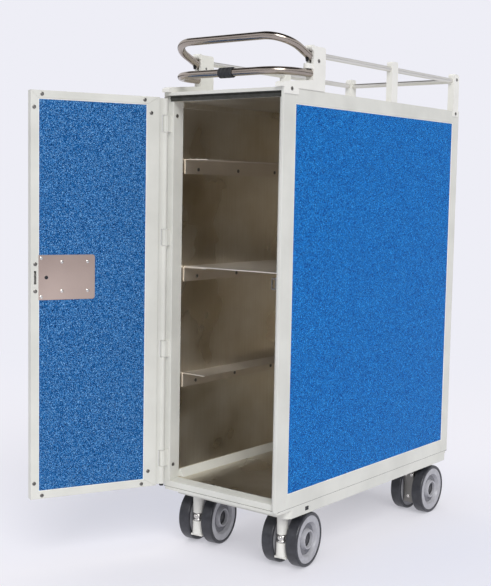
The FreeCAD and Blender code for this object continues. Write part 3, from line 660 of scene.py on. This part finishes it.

# %% [markdown]
# ## Rubber seal over the door
# Under the nose of the header runs a black rubber seal: a thin lip below the nose and a soft bulb on the
# face behind it, which faces the shut door. Lower down it thins to half a millimetre, where the door's
# screw heads come close. Its grey is partly painted shade: the thin lower part is a dark sheet over the
# header's face where shade falls under the nose. Its section is drawn point by point and pushed along X.

# %% Header seal
post_lip_mm, nose_drop_mm, seal_set_in_mm, seal_end_gap_mm = 7.0, 7.5, 8.0, 0.3
header_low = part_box("header_rail")[0]
post_low, post_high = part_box("front_post_left")
seal_face = post_low[1]
nose_under = post_high[2] - nose_drop_mm * MM
nose_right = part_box("front_post_right")[1][0] - post_lip_mm * MM
seal_section_mm = [(0.0, -11.8), (-0.4, -11.7), (-0.5, -7.2), (-1.6, -6.6), (-2.2, -5.2), (-1.8, -3.0),
                   (-1.1, -1.9), (-3.0, -1.1), (-8.6, -0.9), (-9.2, -0.5), (-9.2, 0.0), (0.0, 0.0)]
seal_left = header_low[0] + seal_set_in_mm * MM
seal_right = nose_right - seal_end_gap_mm * MM
seal_mesh = bmesh.new()
outline = [Vector((seal_left, seal_face + out * MM, nose_under + rise * MM))
           for out, rise in seal_section_mm]
extrude(seal_mesh, outline, X * (seal_right - seal_left))
make_piece("header_door_seal", seal_mesh, rubber_seal_and_painted_shade, "cabinet")
print("seal length in mm:", round((seal_right - seal_left) / MM, 1))

# %% [markdown]
# ## Panel beads and the seam of the tray
# A slim white bead closes the joint between each blue panel and its frame, and a dark sealing line runs
# where the frame sits on the tray. A curve with a bevel would make them too, but a loft round a rectangle
# keeps the mitred corners sharp and needs only a few faces.

# %% Panel beads
bead_profile = [(0.0, 0.0), (0.1, 0.6), (0.5, 0.9), (1.3, 0.9), (1.9, 0.5), (2.1, 0.0)]


def panel_bead(mesh, points, across, normal):
    """Bead round the face of a panel that looks along a direction."""
    low, high = span(points, across)
    bottom, top = span(points, Z)
    face = span(points, normal)[1]
    bead_round(mesh, across * low + Z * bottom + normal * face, across * (high - low), Z * (top - bottom),
               normal, bead_profile)


bead_mesh = bmesh.new()
for points in solids_of("side_panels"):
    hand = 1.0 if span(points, X)[0] > 0 else -1.0
    panel_bead(bead_mesh, points, Y, X * hand)
for points in solids_of("rear_panel"):
    panel_bead(bead_mesh, points, X, Y)
beads = make_piece("cabinet_panel_beads", bead_mesh, white_nylon, "cabinet")
door_bead_mesh = bmesh.new()
for points in solids_of("door_panel"):
    for way in (1.0, -1.0):
        panel_bead(door_bead_mesh, points, door_across, door_inward * way)
door_beads = make_piece("door_panel_beads", door_bead_mesh, white_nylon, "door")
print("bead faces:", len(beads.data.polygons) + len(door_beads.data.polygons))

# %% Seam of the tray
tray_low, tray_high = (Vector(corner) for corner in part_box("base_tray"))
seam_profile = [(1.2, -0.8), (0.1, -0.6), (0.1, 0.6), (1.2, 0.8)]
seam_set_back_mm = 2.0
seam_mesh = bmesh.new()
seam_corner = Vector((tray_low.x, tray_low.y + seam_set_back_mm * MM, tray_high.z))
seam_across, seam_along = X * (tray_high.x - tray_low.x), Y * (tray_high.y - seam_corner.y)
bead_round(seam_mesh, seam_corner, seam_across, seam_along, Z, seam_profile)
make_piece("tray_seam_seal", seam_mesh, black_rubber, "cabinet")
print("seam length in mm:", round(2 * (seam_across.length + seam_along.length) / MM))

# %% [markdown]
# ## Rubber plugs in the skirt
# A small black plug closes each slot in the skirt. Its front is a raised rim round a sunken middle, so it
# reads as rubber rather than as a hole. It is lofted through rounded rectangles, each a little smaller.

# %% Skirt plugs
slot_middle_y_mm, slot_middle_z_mm = -262.75, 135.5
plug_half_length_mm, plug_half_height_mm, plug_corner_mm = 6.6, 4.4, 1.4
plug_below_skirt_mm = 0.2
plug_rings_mm = [(0.0, 3.6), (0.0, 0.3), (0.3, 0.0), (1.2, 0.0), (1.5, 0.6)]
corner_points = 4


def rounded_rectangle(centre, across, up, half_width_mm, half_height_mm, corner_mm):
    """Points of a rectangle with round corners."""
    points = []
    for turn, (a, b) in enumerate(((1, 1), (-1, 1), (-1, -1), (1, -1))):
        for step in range(corner_points):
            angle = math.radians(90 * (turn + step / (corner_points - 1)))
            u = a * (half_width_mm - corner_mm) + corner_mm * math.cos(angle)
            v = b * (half_height_mm - corner_mm) + corner_mm * math.sin(angle)
            points.append(centre + (across * u + up * v) * MM)
    return points


def slot_plug(mesh, face, inward):
    """Plug lofted from its back over a raised rim to a sunken middle: rings are (shrink, depth)."""
    rings = []
    for shrink_mm, deep_mm in plug_rings_mm:
        outline = rounded_rectangle(face + inward * (deep_mm * MM), Y, Z, plug_half_length_mm - shrink_mm,
                                    plug_half_height_mm - shrink_mm, plug_corner_mm)
        rings.append([mesh.verts.new(point) for point in outline])
    mesh.faces.new(rings[0])
    mesh.faces.new(rings[-1])
    join_rings(mesh, rings)


plug_mesh = bmesh.new()
for hand in (1.0, -1.0):
    face_x = hand * (tray_high.x - plug_below_skirt_mm * MM)
    face = Vector((face_x, slot_middle_y_mm * MM, slot_middle_z_mm * MM))
    slot_plug(plug_mesh, face, -X * hand)
plugs = make_piece("skirt_slot_plugs", plug_mesh, black_rubber, "cabinet")
print("plug faces:", len(plugs.data.polygons))

# %% [markdown]
# ## Sleeve, stud boots and hinge bush
# The black sleeve on the handle is a moulded rubber ring with soft ends and three shallow grooves. Each
# stud under the brake bar wears a small ribbed boot, and a plastic bush carries the foot of the hinge
# pin. All are round, so a short profile for the lathe gives every rib and groove at once.

# %% Handle sleeve
fine_turns = 40
sleeve_low, sleeve_high = (Vector(corner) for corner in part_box("handle_sleeve"))
sleeve_length_mm = (sleeve_high.x - sleeve_low.x) / MM
sleeve_middle = (sleeve_low + sleeve_high) / 2
sleeve_start = Vector((sleeve_low.x, sleeve_middle.y, sleeve_middle.z))
sleeve_end = [(8.3, 0.0), (10.2, 0.1), (10.9, 0.6), (11.2, 1.6)]
groove_mm = [(11.2, -1.2), (10.8, -0.6), (10.8, 0.6), (11.2, 1.2)]
groove_shares = (0.2, 0.5, 0.8)
sleeve_profile = list(sleeve_end)
for share in groove_shares:
    sleeve_profile += [(radius, sleeve_length_mm * share + along) for radius, along in groove_mm]
sleeve_profile += [(radius, sleeve_length_mm - along) for radius, along in reversed(sleeve_end)]
sleeve_mesh = bmesh.new()
lathe(sleeve_mesh, sleeve_start, X, sleeve_profile, fine_turns)
sleeve = make_piece("handle_rubber_sleeve", sleeve_mesh, black_rubber, "cabinet")
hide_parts("handle_sleeve")
print("sleeve length in mm:", round(sleeve_length_mm, 1))

# %% Stud boots and hinge bush
boot_mesh = bmesh.new()
boot_profile = [(0.0, 0.0), (2.2, 0.0), (3.0, 0.5), (3.4, 1.6), (2.7, 2.3), (3.9, 3.2), (2.9, 4.1),
                (4.4, 5.2), (3.4, 6.2), (4.6, 7.2), (3.4, 8.4)]
for points in solids_of("brake_bar_studs"):
    low = Vector([span(points, axis)[0] for axis in (X, Y, Z)])
    high = Vector([span(points, axis)[1] for axis in (X, Y, Z)])
    foot = Vector(((low.x + high.x) / 2, (low.y + high.y) / 2, low.z))
    lathe(boot_mesh, foot, Z, boot_profile)
boots = make_piece("brake_stud_boots", boot_mesh, black_rubber, "brake_bar")
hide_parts("brake_bar_studs")

pin_low, pin_high = (Vector(corner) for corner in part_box("hinge_pin"))
bush_profile = [(0.0, 0.0), (3.6, 0.0), (4.6, 0.6), (5.0, 1.6), (5.0, 4.2), (4.4, 4.6), (2.5, 4.6)]
bush_drop_mm = 2.5
pin_middle = (pin_low + pin_high) / 2
bush_foot = Vector((pin_middle.x, pin_middle.y, pin_low.z - bush_drop_mm * MM))
bush_mesh = bmesh.new()
lathe(bush_mesh, bush_foot, Z, bush_profile)
bush = make_piece("hinge_pin_bush", bush_mesh, black_plastic, "cabinet")
for piece in (boots, bush):
    print("faces of", piece.name, len(piece.data.polygons))

# %% [markdown]
# ## Castor caps and necks
# Inside each hub's boss sits a dark dust cap with the axle's nut; its dark grey is partly painted shade
# that deepens the bore. The dish round the boss is covered by a mid grey ring, painted shade for the dish
# in the rim's shadow. Each front leg has a chromed swivel joint at its neck, with a bolt through it, and
# each rear leg has three bolts. The wheel joints give every axle's place and direction.

# %% Wheel caps and webs
castors = ("front_left", "front_right", "rear_left", "rear_right")
cap_profile = [(16.6, 36.4), (15.8, 36.0), (12.0, 35.6), (10.6, 36.2), (7.6, 36.4), (7.0, 38.0),
               (5.4, 38.4), (0.0, 38.6)]
dish_shade_profile = [(24.0, 34.4), (24.2, 35.2), (26.0, 35.6), (32.6, 35.6), (34.2, 35.2), (34.4, 34.4)]
wheel_fittings = (("_dust_cap_", cap_profile, cap_and_bore_shade_nylon), ("_painted_dish_shade_", dish_shade_profile, dish_shade_nylon))


def wheel_pieces(castor, side, way):
    """Dust cap and painted dish-shade ring on the outer face of one wheel."""
    wheel = castor + "_wheel_" + side
    spin = joints[wheel + "_spin"]
    outward = Vector(spin["axis"]).normalized() * way
    for fitting, profile, material in wheel_fittings:
        ring_mesh = bmesh.new()
        lathe(ring_mesh, Vector(spin["pos_m"]), outward, profile, fine_turns)
        make_piece(castor + fitting + side, ring_mesh, material, wheel)


print("fittings on each wheel:", len(wheel_fittings))

# %% Swivel joints and bolts
joint_profile = [(9.6, 59.2), (11.6, 59.4), (12.2, 60.4), (12.2, 63.0), (11.6, 64.0), (9.8, 64.4),
                 (9.8, 66.6), (11.8, 67.0), (12.4, 68.2), (12.4, 73.4), (11.8, 74.6), (10.2, 75.0),
                 (9.8, 76.2), (9.6, 77.8)]
bolt_profile = [(4.2, 0.0), (4.2, 1.6), (3.6, 2.2), (1.6, 2.2), (1.2, 1.0), (0.0, 1.0)]
front_bolts_mm, front_bolt_reach_mm = ((0.0, 70.8),), 11.6
rear_bolts_mm, rear_bolt_reach_mm = ((-8.0, 100.0), (8.0, 100.0), (0.0, 44.0)), 20.0


def joint_piece(castor):
    """Swivel joint of a front leg, and the bolts of any leg, placed as (across, height)."""
    pivot = Vector(joints[castor + "_swivel"]["pos_m"])
    axle = Vector(joints[castor + "_wheel_right_spin"]["axis"]).normalized()
    forward = axle.cross(Z)
    bolts_mm, reach_mm = rear_bolts_mm, rear_bolt_reach_mm
    mesh = bmesh.new()
    if castor.startswith("front"):
        bolts_mm, reach_mm = front_bolts_mm, front_bolt_reach_mm
        lathe(mesh, Vector((pivot.x, pivot.y, 0.0)), Z, joint_profile, fine_turns)
    for across_mm, height_mm in bolts_mm:
        neck = Vector((pivot.x, pivot.y, height_mm * MM))
        lathe(mesh, neck + forward * (reach_mm * MM) + axle * (across_mm * MM), forward, bolt_profile)
    make_piece(castor + "_swivel_joint", mesh, bright_steel, "castor_" + castor)


for castor in castors:
    wheel_pieces(castor, "left", -1.0)
    wheel_pieces(castor, "right", 1.0)
    joint_piece(castor)
print("castors fitted:", len(castors))

# %% [markdown]
# ## The studio
# The trolley stands on a pale seamless floor under broad soft light from the front right and from above.
# Suns with a wide angle give even light, so the floor has the same tone everywhere and only the trolley's
# own soft shadow shows. Near the trolley the floor gives off a share of the backdrop's colour, and the
# share grows until, far away, it is all glow, which hides the horizon.

# %% Floor
floor_size = 80.0
backdrop_colour, floor_colour = "#EEEEF6", "#F6F4FA"
glow_share_near = 0.40
fade_start, fade_end = 0.8, 3.0


def stage_floor():
    """Large pale floor that takes the shadows near the trolley and fades into the backdrop."""
    mesh = bmesh.new()
    bmesh.ops.create_grid(mesh, x_segments=1, y_segments=1, size=floor_size / 2)
    data = bpy.data.meshes.new("studio_floor")
    mesh.to_mesh(data)
    mesh.free()
    floor = bpy.data.objects.new("studio_floor", data)
    bpy.context.scene.collection.objects.link(floor)
    material, shader = new_material("matte_studio_floor", {
        "Roughness": 0.9, "Specular IOR Level": 0.0, "Base Color": linear(floor_colour)})
    place = add_node(material, "ShaderNodeTexCoord").outputs["Object"]
    reach = add_node(material, "ShaderNodeVectorMath", {"operation": "LENGTH"}, i0=place)
    far = add_node(material, "ShaderNodeMapRange", {
        "interpolation_type": "SMOOTHSTEP", "From Min": fade_start, "From Max": fade_end,
        "To Min": glow_share_near}, Value=reach.outputs["Value"])
    glow = add_node(material, "ShaderNodeEmission", {"Color": linear(backdrop_colour)})
    mix = add_node(material, "ShaderNodeMixShader", i0=far.outputs["Result"], i1=shader.outputs["BSDF"],
                   i2=glow.outputs["Emission"])
    surface = material.node_tree.nodes["Material Output"].inputs["Surface"]
    material.node_tree.links.new(mix.outputs["Shader"], surface)
    data.materials.append(material)


stage_floor()
print("floor size in metres:", floor_size)

# %% [markdown]
# ## The world and the lamps
# The camera sees the world in the backdrop's colour. Matte surfaces are lit by a plainer, neutral level of
# it. Polished metal needs something dark to mirror, as in a real studio with dark walls and a dark ceiling
# round its lights, so mirror rays meet dark at the horizon and high above, and a pale band between.

# %% World
world_light_share = 0.40
dark_wall, pale_band, dark_ceiling = "#4A4846", "#F2F2F6", "#2E2C2A"
mirror_bands = [(0.0, dark_wall), (0.10, dark_wall), (0.16, pale_band), (0.60, pale_band),
                (0.72, dark_ceiling), (1.0, dark_ceiling)]


def stage_world():
    """Backdrop for the camera, neutral light for matte surfaces, dark and pale bands for mirrors."""
    world = bpy.data.worlds.new("studio_world")
    bpy.context.scene.world = world
    world.use_nodes = True
    paths = add_node(world, "ShaderNodeLightPath")
    seen = add_node(world, "ShaderNodeMath", {"operation": "MAXIMUM"},
                    i0=paths.outputs["Is Camera Ray"], i1=paths.outputs["Is Transmission Ray"])
    direction = add_node(world, "ShaderNodeTexCoord").outputs["Generated"]
    height = add_node(world, "ShaderNodeSeparateXYZ", Vector=direction).outputs["Z"]
    bands = add_node(world, "ShaderNodeValToRGB", {"stops": mirror_bands}, i0=height)
    # Sockets 6 and 7 of a mix node are its two colours, and output 2 is the mixed one.
    lit = add_node(world, "ShaderNodeMix", {"data_type": "RGBA", 6: [world_light_share] * 3 + [1.0]},
                   i0=paths.outputs["Is Glossy Ray"], i7=bands.outputs["Color"])
    shown = add_node(world, "ShaderNodeMix", {"data_type": "RGBA", 7: linear(backdrop_colour)},
                     i0=seen.outputs["Value"], i6=lit.outputs[2])
    background = world.node_tree.nodes["Background"]
    world.node_tree.links.new(shown.outputs[2], background.inputs["Color"])


stage_world()
print("world:", bpy.context.scene.world.name)

# %% Lamps


def soft_sun(name, towards_light, strength, spread_deg):
    """Even light from one direction with soft shadows."""
    lamp = bpy.data.lights.new(name, "SUN")
    lamp.energy = strength
    lamp.angle = math.radians(spread_deg)
    holder = bpy.data.objects.new(name, lamp)
    holder.rotation_euler = Vector(towards_light).to_track_quat("Z", "Y").to_euler()
    bpy.context.scene.collection.objects.link(holder)
    return holder


soft_sun("front_softbox", (0.58, -0.55, 0.60), strength=1.85, spread_deg=35.0)
top_light = soft_sun("top_softbox", (-0.30, -0.05, 0.95), strength=0.75, spread_deg=60.0)
top_light.visible_glossy = False
bpy.context.scene.view_settings.view_transform = "Standard"
print("lamps:", len(bpy.data.lights))
